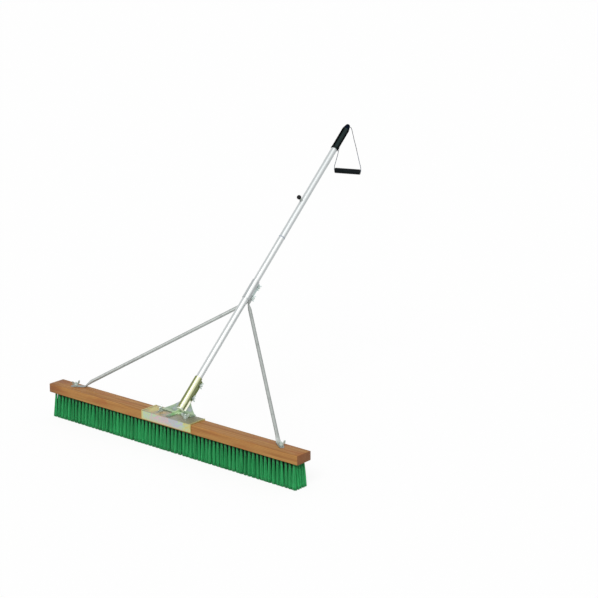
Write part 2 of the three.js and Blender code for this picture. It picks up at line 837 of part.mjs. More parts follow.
// Finishes
function finish(color, roughness, metalness) {
  return { color, roughness, metalness };
}
const wood = finish(0xb0824f, 0.6, 0);
const bristle = finish(0x1f7a4a, 0.7, 0);
const chromatedSteel = finish(0xc9c3b4, 0.35, 0.8);
const zincSteel = finish(0xbfc3c4, 0.35, 0.9);
const tubeMetal = finish(0xdadddd, 0.3, 0.9);
const blackRubber = finish(0x17191a, 0.85, 0);
const blackPlastic = finish(0x101214, 0.3, 0);
const noseBlue = finish(0x1c2530, 0.45, 0);
const collarGrey = finish(0x9aa6b0, 0.5, 0);
const cordGrey = finish(0x9aa4b2, 0.7, 0);

const group = new THREE.Group();
const handle = new THREE.Group();
handle.position.set(0, handleOffset, headTop);
handle.rotation.x = lean - Math.PI / 2;
group.add(handle);

function addPiece(parent, name, geometry, look) {
  const mesh = new THREE.Mesh(geometry, new THREE.MeshStandardMaterial(look));
  mesh.name = name;
  parent.add(mesh);
  return mesh;
}

addPiece(group, 'head_block', headBlock(), wood);
bankColumns.forEach((count, bank) => {
  addPiece(group, `bristle_bank_${bank + 1}`, bristleBank(bank), bristle);
});
addPiece(group, 'base_plate', basePlate(), chromatedSteel);
addPiece(group, 'socket_bracket', socketBracket(), chromatedSteel);

for (const { name, x, y, seat, turn } of uprightBoltPlaces()) {
  const washerBottom = seat + gap;
  const nutBottom = washerBottom + washerThick + gap;
  const length = nutBottom + nutHeight(largeBolt) + boltEnd - uprightHeadTop();
  const bolt = addPiece(group, `${name}_bolt`, roundHeadBolt(length), zincSteel);
  bolt.position.set(x, y, uprightHeadTop());
  const ringShape = tube(largeBolt + gap, washerRadius, 0, washerThick, 16);
  addPiece(group, `${name}_washer`, ringShape, zincSteel).position.set(x, y, washerBottom);
  const nut = addPiece(group, `${name}_wing_nut`, wingNut(largeBolt), zincSteel);
  nut.position.set(x, y, nutBottom);
  nut.rotation.z = turn;
}

addPiece(handle, 'lower_tube', lowerTube(), tubeMetal);
addPiece(handle, 'inner_tube', innerTube(), tubeMetal);
addPiece(handle, 'joint_collar', jointCollar(), collarGrey);
addPiece(handle, 'upper_tube', upperTube(), tubeMetal);
addPiece(handle, 'knob_boss', knobBoss(), zincSteel);
addPiece(handle, 'knob_stud', knobStudRod(), zincSteel);
addPiece(handle, 'ball_knob', ballKnob(), blackPlastic);
addPiece(handle, 'stay_clamp', stayClamp(), zincSteel);
addPiece(handle, 'grip', grip(), blackRubber);
addPiece(handle, 'nose_cap', noseCap(), noseBlue);

// Cross bolts lie along X, heads on the left and wing nuts on the right
const socketBoltSecond = socketBoltFirst + socketBoltPitch;
const clampBoltSecond = clampBoltFirst + clampBoltPitch;
const crossBolts = [
  { name: 'socket_lower', out: socketBoltOut, place: socketBoltFirst, tab: 0, turn: 0.5 },
  { name: 'socket_upper', out: socketBoltOut, place: socketBoltSecond, tab: 0, turn: 0.2 },
  { name: 'clamp_lower', out: clampBoltOut, place: clampBoltFirst, tab: stayTabThick + gap, turn: 0.1 },
  { name: 'clamp_upper', out: clampBoltOut, place: clampBoltSecond, tab: 0, turn: -0.1 },
];
for (const { name, out, place, tab, turn } of crossBolts) {
  const face = earFace + tab + gap;
  const length = 2 * face + nutHeight(smallBolt) + boltEnd;
  const bolt = addPiece(handle, `${name}_bolt`, alongX(hexBolt(length)), zincSteel);
  bolt.position.set(-face, out, place);
  const nut = addPiece(handle, `${name}_wing_nut`, alongX(wingNut(smallBolt)), zincSteel);
  nut.position.set(face, out, place);
  nut.rotation.x = turn;
}

addPiece(group, 'left_stay', stay(-1), zincSteel);
addPiece(group, 'right_stay', stay(1), zincSteel);

addPiece(group, 'cord_bridge', cordBridge(), cordGrey);
addPiece(group, 'left_pull_cord', cordStretch(-1, leftCordPlaces), cordGrey);
addPiece(group, 'right_pull_cord', cordStretch(1, rightCordPlaces), cordGrey);
addPiece(group, 'bar_cord', barCord(), cordGrey);
addPiece(group, 'pull_bar', pullBar(), blackRubber);

export default group;
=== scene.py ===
# Court brush in metres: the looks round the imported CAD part
import math
import bpy
import numpy as np
from mathutils import Matrix, Vector


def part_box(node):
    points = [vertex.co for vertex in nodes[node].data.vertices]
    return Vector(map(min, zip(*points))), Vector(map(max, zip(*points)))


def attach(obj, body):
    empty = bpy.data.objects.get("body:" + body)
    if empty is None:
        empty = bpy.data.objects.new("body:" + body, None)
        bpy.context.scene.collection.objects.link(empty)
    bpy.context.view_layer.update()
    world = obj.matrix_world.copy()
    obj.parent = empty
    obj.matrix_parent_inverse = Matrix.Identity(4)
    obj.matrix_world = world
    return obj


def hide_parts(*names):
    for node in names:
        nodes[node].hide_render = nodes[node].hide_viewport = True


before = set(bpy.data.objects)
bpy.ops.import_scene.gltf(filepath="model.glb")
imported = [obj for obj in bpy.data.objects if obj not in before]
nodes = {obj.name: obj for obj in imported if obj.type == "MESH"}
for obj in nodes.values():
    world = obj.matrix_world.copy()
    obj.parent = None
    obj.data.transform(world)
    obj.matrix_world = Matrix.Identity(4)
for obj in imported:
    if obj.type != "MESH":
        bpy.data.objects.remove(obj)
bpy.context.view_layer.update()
print("frame loaded:", len(nodes), "nodes")


def addObject(name, data):
    thing = bpy.data.objects.new(name, data)
    bpy.context.scene.collection.objects.link(thing)
    return thing


def lookBack(thing, azimuth, elevation):
    # turns a camera or lamp at that side towards the object and gives the way out to it
    turn, rise = math.radians(azimuth), math.radians(elevation)
    level = math.cos(rise)
    away = Vector((math.sin(turn) * level, -math.cos(turn) * level, math.sin(rise)))
    thing.rotation_euler = (-away).to_track_quat("-Z", "Y").to_euler()
    return away


# The camera stands where the photograph was taken from
camera = {
    "place": (4.1823, -4.3260, 2.2304),
    "azimuth": 39.8,
    "elevation": 15.62,
    "focalPixels": 1800,
    "framePixels": 598,
    "sensor": 36,
    "farthest": 200,
}


def makeCamera():
    data = bpy.data.cameras.new("camera")
    data.sensor_width = camera["sensor"]
    data.lens = camera["focalPixels"] / camera["framePixels"] * camera["sensor"]
    data.clip_end = camera["farthest"]
    eye = addObject("camera", data)
    eye.location = camera["place"]
    lookBack(eye, camera["azimuth"], camera["elevation"])
    bpy.context.scene.camera = eye


makeCamera()
print("camera made")


# Shader maths: a wire is one socket's output, used in sums like a number
class Wire:
    def __init__(self, board, socket):
        self.board = board
        self.socket = socket

    def maths(self, operation, first, second=0.0):
        return self.board.add("ShaderNodeMath", {"operation": operation}, {0: first, 1: second})

    def __add__(self, other):
        return self.maths("ADD", self, other)

    def __radd__(self, other):
        return self.maths("ADD", other, self)

    def __sub__(self, other):
        return self.maths("SUBTRACT", self, other)

    def __rsub__(self, other):
        return self.maths("SUBTRACT", other, self)

    def __mul__(self, other):
        return self.maths("MULTIPLY", self, other)

    def __rmul__(self, other):
        return self.maths("MULTIPLY", other, self)

    def __abs__(self):
        return self.maths("ABSOLUTE", self)

    def sine(self):
        return self.maths("SINE", self)

    def larger(self, other):
        return self.maths("MAXIMUM", self, other)


# One material, or the world, and its nodes
class Board:
    def __init__(self, name, colour=None, kind="materials"):
        self.owner = getattr(bpy.data, kind).new(name)
        self.owner.use_nodes = True
        self.tree = self.owner.node_tree
        self.tree.nodes.clear()
        self.colour = colour

    def add(self, kind, settings=None, sockets=None, out=0):
        node = self.tree.nodes.new(kind)
        for name, value in (settings or {}).items():
            if name == "stops":
                self.setStops(node.color_ramp, value)
            else:
                setattr(node, name, value)
        for name, value in (sockets or {}).items():
            if isinstance(value, Wire):
                self.tree.links.new(value.socket, node.inputs[name])
            else:
                node.inputs[name].default_value = value
        return Wire(self, node.outputs[out]) if len(node.outputs) else None

    def setStops(self, ramp, stops):
        while len(ramp.elements) < len(stops):
            ramp.elements.new(0.5)
        for element, (place, colour) in zip(ramp.elements, stops):
            element.position = place
            element.color = colour

    def spot(self):
        return self.add("ShaderNodeTexCoord", out=3)  # object coordinates

    def along(self, spot, way):
        dot = {"operation": "DOT_PRODUCT"}
        return self.add("ShaderNodeVectorMath", dot, {0: spot, 1: way}, out=1)

    def length(self, spot):
        return self.add("ShaderNodeVectorMath", {"operation": "LENGTH"}, {0: spot}, out=1)

    def split(self, spot):
        node = self.add("ShaderNodeSeparateXYZ", None, {0: spot})
        outputs = node.socket.node.outputs
        return [Wire(self, outputs[i]) for i in range(3)]

    def gather(self, x, y, z):
        return self.add("ShaderNodeCombineXYZ", None, {0: x, 1: y, 2: z})

    def noise(self, spot, size=1, detail=3, rough=0.5):
        # size is how fine it is, one number or one for each axis
        if isinstance(size, tuple):
            spot = self.add("ShaderNodeVectorMath", {"operation": "MULTIPLY"}, {0: spot, 1: size})
            size = 1
        sockets = {"Vector": spot, "Scale": size, "Detail": detail, "Roughness": rough}
        return self.add("ShaderNodeTexNoise", None, sockets)

    def step(self, value, low, high):
        ease = {"interpolation_type": "SMOOTHSTEP", "clamp": True}
        return self.add("ShaderNodeMapRange", ease, {0: value, 1: low, 2: high})

    def mix(self, share, first, second):
        settings = {"data_type": "RGBA", "clamp_factor": True}
        return self.add("ShaderNodeMix", settings, {0: share, 6: first, 7: second}, out=2)

    def coat(self, share, colour):
        # lays that share of a colour over what is there
        self.colour = self.mix(share, self.colour, colour)

    def facing(self):
        # 0 where a surface faces the viewer, 1 at its outline
        return self.add("ShaderNodeLayerWeight", None, {"Blend": 0.5}, out=1)

    def ramp(self, value, stops):
        return self.add("ShaderNodeValToRGB", {"stops": stops}, {0: value})

    def bump(self, height, distance, strength=1.0):
        sockets = {"Height": height, "Distance": distance, "Strength": strength}
        return self.add("ShaderNodeBump", None, sockets)

    def surface(self, sockets):
        shader = self.add("ShaderNodeBsdfPrincipled", None, {"Base Color": self.colour, **sockets})
        self.add("ShaderNodeOutputMaterial", None, {0: shader})
        return self.owner


def ink(red, green, blue):
    # a colour as it is seen, 0 to 255
    return tuple(((v / 255 + 0.055) / 1.055) ** 2.4 for v in (red, green, blue)) + (1.0,)


# The handle's own frame: Z up the handle, Y out of its underside
handle = {"angle": 43, "offset": 0.0226, "top": 0.127}
lean = math.radians(handle["angle"])
handleStart = Vector((0, handle["offset"], handle["top"]))
handleWay = Vector((0, math.cos(lean), math.sin(lean)))
handleUnder = Vector((0, math.sin(lean), -math.cos(lean)))
handleFrame = Matrix.Translation(handleStart) @ Matrix.Rotation(lean - math.pi / 2, 4, "X")


def handlePlaces(board, spot):
    # distance along the handle and out of its underside
    along = board.along(spot, handleWay) - handleStart.dot(handleWay)
    under = board.along(spot, handleUnder) - handleStart.dot(handleUnder)
    return along, under


# Finishes
wood = {
    "pale": ink(173, 127, 73),
    "deep": ink(130, 82, 44),
    "red": ink(152, 92, 51),
    "end": ink(116, 74, 50),
    # the colour of the painted highlight on the low front edge
    "edge": ink(182, 146, 84),
    "ring": 0.0042,
    "ringDrift": 0.016,
    "heart": (0.021, 0.022),
    "halfLength": 0.6,
    # how fine each change of tone is, along and across the block
    "drift": (1.7, 9, 9),
    "streak": (3.2, 85, 85),
    "flush": (9, 38, 38),
    "pore": (55, 1500, 1500),
    # a painted highlight along the low front edge, by height and by depth
    "lowEdgeHighlight": ((0.111, 0.097), (-0.031, -0.0345)),
    "stained": (-0.5, -0.6),
    "endFade": (0.0018, 0.0006),
}


def woodFinish():
    board = Board("varnishedWood", wood["pale"])
    spot = board.spot()
    x, y, z = board.split(spot)
    drift = board.noise(spot, wood["drift"])
    fromHeart = board.gather(0.0, y - wood["heart"][0], z - wood["heart"][1])
    distance = board.length(fromHeart)
    ring = ((distance + drift * wood["ringDrift"]) * (2 * math.pi / wood["ring"])).sine() * 0.5 + 0.5
    streak = board.noise(spot, wood["streak"], 5, 0.6)
    flush = board.noise(spot, wood["flush"], 2)
    pore = board.noise(spot, wood["pore"], 2, 0.7)
    board.coat(ring * 0.42, wood["deep"])
    board.coat(board.step(streak, 0.42, 0.68) * 0.6, wood["deep"])
    board.coat(board.step(flush, 0.48, 0.66) * 0.55, wood["red"])
    board.coat(board.step(pore, 0.56, 0.72) * 0.35, wood["end"])
    # painted highlight: the low front edge is made paler
    lowEdgeHighlight = board.step(z, *wood["lowEdgeHighlight"][0]) * board.step(y, *wood["lowEdgeHighlight"][1])
    board.coat(lowEdgeHighlight * 0.22, wood["edge"])
    stain = board.step(x, *wood["stained"]) * board.step(flush, 0.3, 0.6)
    board.coat(stain * 0.6, wood["end"])
    end = board.step(abs(x), *[wood["halfLength"] - fade for fade in wood["endFade"]])
    board.coat(end * 0.78, wood["end"])
    return board.surface({
        "Roughness": streak * 0.3 + 0.34,
        "Specular IOR Level": 0.1,
        "Normal": board.bump(ring * 0.5 + pore, 0.00012, 0.5),
    })


bristle = {
    "dark": ink(21, 120, 62),
    "light": ink(46, 185, 104),
    # painted shade: root darkens the tufts near the block, inner darkens the inner tufts
    "root": ink(6, 40, 20),
    "inner": ink(2, 16, 8),
    "tip": ink(52, 170, 96),
    # heights between which each of them sets in
    "rootRise": (0.055, 0.099),
    "innerShadeRise": (0.014, 0.068),
    "tipFall": (0.012, 0.0),
}


def bristleFinish():
    board = Board("greenFilament", bristle["dark"])
    tone = board.add("ShaderNodeAttribute", {"attribute_name": "tone"}, out=2)
    spot = board.spot()
    height = board.split(spot)[2]
    streak = board.noise(spot, (900, 900, 14), 2)
    board.coat(tone * 0.65 + streak * 0.3 + 0.02, bristle["light"])
    inner = board.add("ShaderNodeAttribute", {"attribute_name": "inner"}, out=2)
    # painted shade near the roots, and over most of the inner tufts' length
    board.coat(board.step(height, *bristle["rootRise"]) * 0.28, bristle["root"])
    board.coat(board.step(height, *bristle["innerShadeRise"]) * inner * 0.98, bristle["inner"])
    board.coat(board.step(height, *bristle["tipFall"]) * 0.1, bristle["tip"])
    return board.surface({
        "Roughness": tone * 0.2 + 0.36,
        "IOR": 1.46,
        "Normal": board.bump(streak, 0.0001, 0.4),
    })


chromate = {
    "lime": ink(188, 198, 150),
    "green": ink(172, 200, 172),
    "pink": ink(206, 172, 180),
    "grey": ink(176, 186, 178),
    "lilac": ink(180, 174, 200),
    "yellow": ink(197, 190, 122),
    "brown": ink(158, 146, 120),
    "dull": ink(134, 134, 116),
    "dim": ink(112, 114, 90),
    "web": ink(172, 190, 154),
    "webDeep": ink(140, 164, 142),
    "gusset": ink(150, 197, 136),
    "gussetPaintedLight": ink(190, 214, 172),
    "ochre": ink(196, 166, 92),
    "gold": ink(200, 186, 92),
    # the colour of the painted shade on the sleeve's outline and the ears
    "olive": ink(94, 106, 38),
    # the colour of the painted highlight
    "strip": ink(250, 246, 232),
    "cream": ink(226, 227, 190),
    "scratch": ink(226, 228, 214),
}
# Metres; a pair says where a patch fades in and where it is full
plate = {
    "halfLength": 0.119,
    "rim": (0.009, 0.004),
    "lowBand": (0.108, 0.1015),
    "top": (0.1286, 0.1292),
    "goldPlace": (-0.088, -0.008),
    "gold": (0.032, 0.016),
    "dim": (0.03, 0.09),
    "ochre": (0.01, -0.05),
}
bracket = {
    "gussetBack": (0.036, 0.028),
    "gussetSide": (0.022, 0.012),
    "gussetFront": (-0.025, -0.006),
    "gussetPaintedLight": (-0.004, 0.01),
    "skin": (0.0152, 0.0146),
    "sleeveStart": (0.02, 0.026),
    "ear": (0.0135, 0.015),
    "earSide": (0.0062, 0.0056),
    "highlightEnd": (0.066, 0.072),
    "flangeAround": (0.0148, 0.0154),
    "flangeUnder": (0.0068, 0.0065),
    "flangeStart": (0.019, 0.0205),
    "flangeEnd": (0.066, 0.064),
    "flangeInner": (0.0128, 0.0134),
    "flangeOuter": (0.0226, 0.0223),
    "mouthStart": (0.0165, 0.0172),
    "mouthEnd": (0.0202, 0.0198),
}


def chromateGloss(board, spot, wander, metallic=0.6):
    fine = board.noise(spot, (40, 700, 700), 3, 0.65)
    speck = board.noise(spot, 420, 2)
    board.coat(board.step(fine, 0.64, 0.72) * 0.25, chromate["scratch"])
    return board.surface({
        "Metallic": metallic,
        "Roughness": fine * 0.22 + wander * 0.2 + 0.16,
        "Normal": board.bump(fine + speck * 0.4, 0.0001, 0.35),
    })


def plateFinish():
    # thin-film colours follow one another along the sheet and wander with it
    board = Board("chromatedPlate")
    spot = board.spot()
    x, y, z = board.split(spot)
    wander = board.noise(spot, (21, 27, 24), 3, 0.6)
    mottle = board.noise(spot, 120, 2, 0.6)
    half = plate["halfLength"]
    along = (x + half) * (0.5 / half) + (wander - 0.5) * 0.7 + (mottle - 0.5) * 0.9
    board.colour = board.ramp(along, [
        (0.04, chromate["lime"]),
        (0.2, chromate["green"]),
        (0.42, chromate["pink"]),
        (0.56, chromate["grey"]),
        (0.68, chromate["lilac"]),
        (0.8, chromate["green"]),
        (0.91, chromate["yellow"]),
    ])
    rim = board.step(abs(x), *[half - fade for fade in plate["rim"]])
    yellow = rim.larger(board.step(z, *plate["lowBand"]) * 0.75)
    board.coat(yellow * 0.7, chromate["yellow"])
    top = board.step(z, *plate["top"])
    sheet = board.mix(board.step(wander, 0.4, 0.6), chromate["brown"], chromate["dull"])
    patch = board.noise(spot, (38, 60, 30), 2)
    goldX, goldY = plate["goldPlace"]
    gold = board.length(board.gather(x - goldX, y - goldY, 0.0)) + (wander - 0.5) * 0.04
    sheet = board.mix(board.step(gold, *plate["gold"]) * 0.8, sheet, chromate["gold"])
    sheet = board.mix(board.step(x, *plate["dim"]) * 0.7, sheet, chromate["dim"])
    ochre = board.step(patch, 0.46, 0.62) * board.step(x, *plate["ochre"])
    sheet = board.mix(ochre * 0.75, sheet, chromate["ochre"])
    board.coat(top * (1 - rim * 0.6) * 0.85, sheet)
    return chromateGloss(board, spot, wander)


def bracketFinish():
    board = Board("chromatedBracket", chromate["web"])
    spot = board.spot()
    x, y = board.split(spot)[:2]
    along, under = handlePlaces(board, spot)
    wander = board.noise(spot, (27, 30, 27), 3, 0.6)
    board.coat(board.step(wander, 0.36, 0.58), chromate["webDeep"])
    board.coat(board.step(wander, 0.52, 0.68) * 0.45, chromate["lilac"])

    def within(value, patch):
        return board.step(value, *bracket[patch])

    gusset = within(y, "gussetBack") * within(abs(x), "gussetSide") * within(y, "gussetFront")
    board.coat(gusset * 0.8, chromate["gusset"])
    # painted light: the back of the gusset, under the sleeve's mouth, is made paler and not metallic
    foot = gusset * within(y, "gussetPaintedLight")
    board.coat(foot * 0.85, chromate["gussetPaintedLight"])
    around = board.length(board.gather(x, under, 0.0))
    skin = within(around, "skin")
    sleeve = skin * within(along, "sleeveStart")
    board.coat(sleeve * 0.9, chromate["cream"])
    # painted shade: the sleeve darkens to olive towards its outline
    outline = board.step(board.facing(), 0.05, 0.27)
    board.coat(sleeve * outline * 0.9, chromate["olive"])
    # painted shade on the upper part of the ears
    ear = within(under, "ear") * within(abs(x), "earSide")
    high = within(along, "highlightEnd")
    board.coat(ear * high * 0.9, chromate["olive"])
    # painted highlight: a pale, non-metallic band on the turned-out flanges, the lower part of the ears
    # and the sheet that closes the sleeve's mouth
    turned = within(around, "flangeAround") * within(under, "flangeUnder")
    turned = turned * within(along, "flangeStart") * within(along, "flangeEnd")
    turned = turned * within(abs(x), "flangeInner") * within(abs(x), "flangeOuter")
    closed = skin * within(along, "mouthStart") * within(along, "mouthEnd")
    strip = (ear * (1 - high)).larger(turned).larger(closed)
    board.coat(strip * 0.9, chromate["strip"])
    return chromateGloss(board, spot, wander, 0.6 - strip.larger(foot) * 0.6)


metals = {
    "zinc": {
        "name": "brightZinc",
        "colour": ink(190, 202, 194),
        "dull": ink(136, 148, 140),
        "outline": 0.0,
        "metallic": 0.6,
        "roughness": 0.32,
        "grain": 900,
    },
    # painted light: a paler, less metallic copy of the zinc for the nuts across the socket and clamp,
    # which sit in shade
    "crossNutPaintedLight": {
        "name": "paleZincPaintedLight",
        "colour": ink(220, 232, 230),
        "dull": ink(168, 180, 176),
        "outline": 0.0,
        "metallic": 0.15,
        "roughness": 0.4,
        "grain": 900,
    },
    "stay": {
        "name": "dullZinc",
        "colour": ink(172, 177, 174),
        "dull": ink(143, 148, 145),
        "outline": 0.5,
        "metallic": 0.45,
        "roughness": 0.42,
        "grain": 700,
    },
}
outlineShade = 0.45  # of the dull colour


def metalFinish(look):
    # zinc: a fine spangle with dull patches
    board = Board(look["name"], look["colour"])
    spot = board.spot()
    patch = board.noise(spot, 60, 3, 0.6)
    spangle = board.noise(spot, look["grain"], 2)
    board.coat(board.step(patch, 0.4, 0.7) * 0.5, look["dull"])
    board.coat(board.step(spangle, 0.55, 0.75) * 0.25, look["dull"])
    # painted shade: the colour darkens towards the outline
    if look["outline"]:
        darker = tuple(v * outlineShade for v in look["dull"][:3]) + (1,)
        board.coat(board.step(board.facing(), 0.25, 0.6) * look["outline"], darker)
    return board.surface({
        "Metallic": look["metallic"],
        "Roughness": patch * 0.2 + (look["roughness"] - 0.1),
        "Normal": board.bump(spangle, 0.00008, 0.3),
    })


tube = {
    "pale": ink(238, 241, 240),
    "line": ink(214, 219, 220),
    "upper": ink(208, 216, 220),
    # the colour of the painted shade at the tube's outline
    "edge": ink(140, 146, 148),
    "ear": ink(184, 203, 199),
    "upperStart": (0.7835, 0.79),  # along the handle
    "earUnder": (0.0142, 0.0155),
    "earSide": (0.0095, 0.0085),
    "metallic": 0.25,
    "roughness": 0.32,
}


def tubeFinish(name, clamped=False):
    board = Board(name, tube["pale"])
    spot = board.spot()
    along, under = handlePlaces(board, spot)
    x = board.split(spot)[0]
    turned = board.gather(x, under, along)
    drawn = board.noise(turned, (1400, 1400, 5), 3, 0.6)
    smear = board.noise(turned, (40, 40, 7))
    board.coat(board.step(drawn, 0.5, 0.75) * 0.4, tube["line"])
    board.coat(board.step(smear, 0.5, 0.7) * 0.3, tube["line"])
    board.coat(board.step(along, *tube["upperStart"]) * 0.2, tube["upper"])
    # painted shade: the tube darkens towards its outline, more on the clamp
    facing = board.facing()
    outline = board.step(facing, 0.035, 0.2) * (1 - board.step(facing, 0.45, 0.8) * 0.45)
    board.coat(outline * (0.8 if clamped else 0.62), tube["edge"])
    if clamped:
        ear = board.step(under, *tube["earUnder"]) * board.step(abs(x), *tube["earSide"])
        board.coat(ear * 0.9, tube["ear"])
    return board.surface({
        "Metallic": tube["metallic"],
        "Roughness": smear * 0.2 + (tube["roughness"] - 0.1),
        "Normal": board.bump(drawn, 0.00006, 0.3),
    })


plastics = {
    "collar": {
        "name": "greyCollar",
        "colour": ink(150, 160, 172),
        "worn": ink(186, 192, 200),
        "shade": 0.0,
        "specular": 0.5,
        "roughness": 0.5,
        "grain": 900,
        "depth": 0.0001,
    },
    "grip": {
        "name": "blackRubber",
        "colour": ink(44, 56, 56),
        "worn": ink(60, 72, 70),
        "shade": 0.98,
        "specular": 0.02,
        "roughness": 0.7,
        "grain": 1600,
        "depth": 0.0002,
    },
    "nose": {
        "name": "blueBlackCap",
        "colour": ink(7, 31, 60),
        "worn": ink(20, 58, 96),
        "shade": 0.8,
        "specular": 0.03,
        "roughness": 0.34,
        "grain": 1100,
        "depth": 0.0001,
    },
    "ball": {
        "name": "glossyBall",
        "colour": ink(36, 36, 38),
        "worn": ink(52, 52, 54),
        "shade": 0.96,
        "specular": 0.07,
        "roughness": 0.22,
        "grain": 700,
        "depth": 0.00003,
    },
    "bar": {
        "name": "blackBar",
        "colour": ink(12, 20, 22),
        "worn": ink(26, 36, 38),
        "shade": 0.6,
        "specular": 0.08,
        "roughness": 0.32,
        "grain": 1200,
        "depth": 0.00012,
    },
}


def plasticFinish(look):
    # rubber and plastics: a fine skin with paler rubbed places
    board = Board(look["name"], look["colour"])
    spot = board.spot()
    rubbed = board.noise(spot, 45, 4, 0.6)
    skin = board.noise(spot, look["grain"], 2, 0.6)
    board.coat(board.step(rubbed, 0.52, 0.74) * 0.6, look["worn"])
    # painted shade: the colour darkens to black towards the outline
    if look["shade"]:
        board.coat(board.step(board.facing(), 0.02, 0.3) * look["shade"], (0, 0, 0, 1))
    return board.surface({
        "Roughness": rubbed * 0.2 + (look["roughness"] - 0.1),
        "Specular IOR Level": look["specular"],
        "Normal": board.bump(skin, look["depth"], 0.4),
    })


cord = {
    "pale": ink(72, 88, 108),
    "deep": ink(40, 52, 68),
    "grimed": ink(10, 18, 26),
    "darkTopFrom": (0.913, 0.937),
}


def cordFinish():
    board = Board("laidCord", cord["pale"])
    spot = board.spot()
    fibre = board.noise(spot, 2600, 3, 0.7)
    soil = board.noise(spot, 55)
    board.coat(board.step(fibre, 0.4, 0.65) * 0.6 + soil * 0.2, cord["deep"])
    # darker over the upper part of the cord
    darkTopMask = board.step(board.split(spot)[2], *cord["darkTopFrom"])
    board.coat(darkTopMask * 0.8, cord["grimed"])
    return board.surface({
        "Roughness": 0.8,
        "Sheen Weight": 0.15,
        "Normal": board.bump(fibre, 0.00008, 0.6),
    })


finishes = {
    "wood": woodFinish(),
    "bristle": bristleFinish(),
    "plate": plateFinish(),
    "bracket": bracketFinish(),
    "tube": tubeFinish("satinAluminium"),
    "clamp": tubeFinish("clampSteel", True),
    "cord": cordFinish(),
}
for word, look in metals.items():
    finishes[word] = metalFinish(look)
for word, look in plastics.items():
    finishes[word] = plasticFinish(look)
print("finishes made:", len(finishes))


# Shapes: a ring is the numbers of the places round one section
def polar(radius, angle):
    return radius * math.cos(angle), radius * math.sin(angle)


def walls(rings):
    # four-sided faces from ring to ring, three-sided where a ring is one point
    faces = []
    for low, high in zip(rings, rings[1:]):
        for i in range(len(low)):
            j = (i + 1) % len(low)
            faces.append(tuple(dict.fromkeys((low[i], low[j], high[j], high[i]))))
    return faces


def joined(sections):
    # closed sections in a row, with both ends capped
    places = []
    rings = []
    for section in sections:
        rings.append(range(len(places), len(places) + len(section)))
        places += section
    return places, walls(rings) + [tuple(reversed(rings[0])), tuple(rings[-1])]


def makeMesh(name, places, faces, finish, sharpest=40):
    mesh = bpy.data.meshes.new(name)
    mesh.from_pydata([tuple(place) for place in places], [], faces)
    mesh.materials.append(finish)
    mesh.shade_smooth()
    mesh.set_sharp_from_angle(angle=math.radians(sharpest))
    return addObject(name, mesh)


def fit(piece, body, slotName, *replaced):
    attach(piece, body)
    if replaced:
        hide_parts(*replaced)
    return piece


def revolved(rows, sides, matrix, reach=None, closed=False):
    # rows of (radius, height) turned about Z; reach may change a radius by angle and height
    places = []
    rings = []
    for radius, height in rows:
        first = len(places)
        if radius == 0:
            places.append(matrix @ Vector((0, 0, height)))
            rings.append([first] * sides)
            continue
        for i in range(sides):
            angle = 2 * math.pi * i / sides
            out = reach(radius, angle, height) if reach else radius
            places.append(matrix @ Vector((*polar(out, angle), height)))
        rings.append(range(first, first + sides))
    if closed:
        rings.append(rings[0])
    return places, walls(rings)


def arc(radius, height, ease, start, stop, steps=4):
    # rows round a corner of that ease, angles from straight out
    rows = []
    for i in range(steps + 1):
        angle = math.radians(start + (stop - start) * i / steps)
        rows.append((radius + ease * math.cos(angle), height + ease * math.sin(angle)))
    return rows


def swept(line, across, section):
    # section(i, length so far) gives (across, flat) pairs, counter-clockwise round the line
    sections = []
    length = 0
    for i, point in enumerate(line):
        before = line[max(i - 1, 0)]
        after = line[min(i + 1, len(line) - 1)]
        way = (after - before).normalized()
        flat = way.cross(across).normalized()
        length += (point - before).length
        sections.append([point + across * u + flat * v for u, v in section(i, length)])
    return joined(sections)


def straight(start, stop, steps):
    return [start.lerp(stop, i / steps) for i in range(steps + 1)]


def smoothLine(points, steps):
    # a Catmull-Rom line through the points
    ends = [points[0] * 2 - points[1], *points, points[-1] * 2 - points[-2]]
    line = []
    for i in range(1, len(ends) - 2):
        a, b, c, d = ends[i - 1], ends[i], ends[i + 1], ends[i + 2]
        for k in range(steps):
            t = k / steps
            line.append(
                0.5 * (2 * b + (c - a) * t + (2 * a - 5 * b + 4 * c - d) * t**2
                       + (3 * b - a - 3 * c + d) * t**3)
            )
    return line + [points[-1]]


# Pull cord: out of the nose cap on both sides, down to the ends of the bar
pull = {
    "radius": 0.0012,
    "noseRadius": 0.0102,
    "gap": 0.0003,
    "hole": (0, 0.980381, 1.020145),
    "barLength": 0.101,
    "barRadius": 0.0103,
    "barBore": 0.004,
    "barDrop": 0.171,
    "barYaw": 20,
    "barShift": 0.002,
    "turn": 0.0026,
    "turnShares": (0, 0.33, 0.67, 0.83),
    "strands": 3,
    "layPitch": 0.009,
    "layDepth": 0.13,
    "sides": 18,
    "smoothing": 12,
    "bridgeSteps": 20,
    "barSteps": 100,
    "knotHalf": 0.004,
    "knotRise": 0.002,
    # share of the way out to the end of the bar, and drop in millimetres
    "both": ((0, 0), (0.05, 0.1), (0.1, 1), (0.14, 2.8), (0.17, 6), (0.215, 13)),
    "left": (
        (0.27, 24), (0.322, 35), (0.394, 50), (0.465, 65), (0.54, 80), (0.61, 95),
        (0.685, 110), (0.785, 125), (0.895, 140.5), (0.96, 150), (1, 159),
    ),
    "right": (
        (0.275, 24), (0.335, 35), (0.412, 50), (0.504, 65), (0.591, 80), (0.675, 96),
        (0.755, 111), (0.835, 126), (0.925, 141.5), (0.975, 150), (1, 159),
    ),
}
hole = Vector(pull["hole"])
barWay = Vector((math.cos(math.radians(pull["barYaw"])), math.sin(math.radians(pull["barYaw"])), 0))
barMiddle = hole - Vector((0, 0, pull["barDrop"])) + barWay * pull["barShift"]
up = Vector((0, 0, 1))


